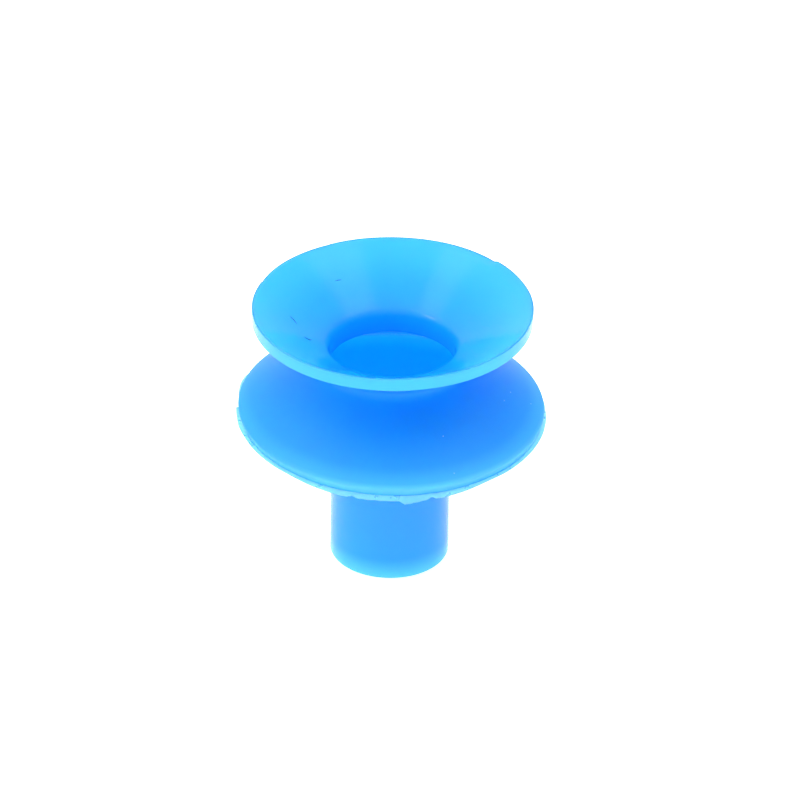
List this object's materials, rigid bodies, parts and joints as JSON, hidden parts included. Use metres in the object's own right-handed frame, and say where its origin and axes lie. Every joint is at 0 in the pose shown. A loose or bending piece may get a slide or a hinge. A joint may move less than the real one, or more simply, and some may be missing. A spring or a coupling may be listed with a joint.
{
  "type": "bellows vacuum suction cup",
  "caption": "One-piece translucent blue silicone bellows suction cup: tubular neck, wide folded bellows, open throat and flared conical sealing lip.",
  "frame": {"origin": "centre of the neck's open end, on the plane the cup stands on", "axes": "+Z along the cup's axis, from the neck end to the sealing lip; the cup is round, so X and Y are free"},
  "size_m": [0.045, 0.045, 0.0403],
  "materials": {
    "silicone_blue": "satin"
  },
  "bodies": {
    "neck": {"neck_sleeve": "silicone_blue", "neck_flexure": "silicone_blue"},
    "bellows_root": {"fold_root": "silicone_blue", "lower_fold": "silicone_blue"},
    "crest": {"crest_ring": "silicone_blue", "parting_flash": "silicone_blue", "upper_fold": "silicone_blue"},
    "waist": {"waist_ring": "silicone_blue", "lip_cone": "silicone_blue"},
    "rim": {"lip_rim": "silicone_blue"}
  },
  "joints": [
    {"name": "bellows_tilt", "type": "hinge", "parent": "neck", "child": "bellows_root", "pos_m": [0, 0, 0.0185], "axis": [1, 0, 0], "range_deg": [-10, 10], "stiffness_Nm_per_rad": 0.2, "deforming": ["neck_flexure"]},
    {"name": "lower_fold_stroke", "type": "slide", "parent": "bellows_root", "child": "crest", "axis": [0, 0, 1], "range_m": [-0.003, 0.001], "stiffness_N_per_m": 2000, "deforming": ["lower_fold"]},
    {"name": "upper_fold_stroke", "type": "slide", "parent": "crest", "child": "waist", "axis": [0, 0, 1], "range_m": [-0.003, 0.001], "stiffness_N_per_m": 2000, "deforming": ["upper_fold"]},
    {"name": "lip_flatten", "type": "slide", "parent": "waist", "child": "rim", "axis": [0, 0, 1], "range_m": [-0.0025, 0.0005], "stiffness_N_per_m": 1200, "deforming": ["lip_cone"]}
  ],
  "couplings": [
    {"joint": "upper_fold_stroke", "follows": "lower_fold_stroke", "ratio": 1}
  ]
}
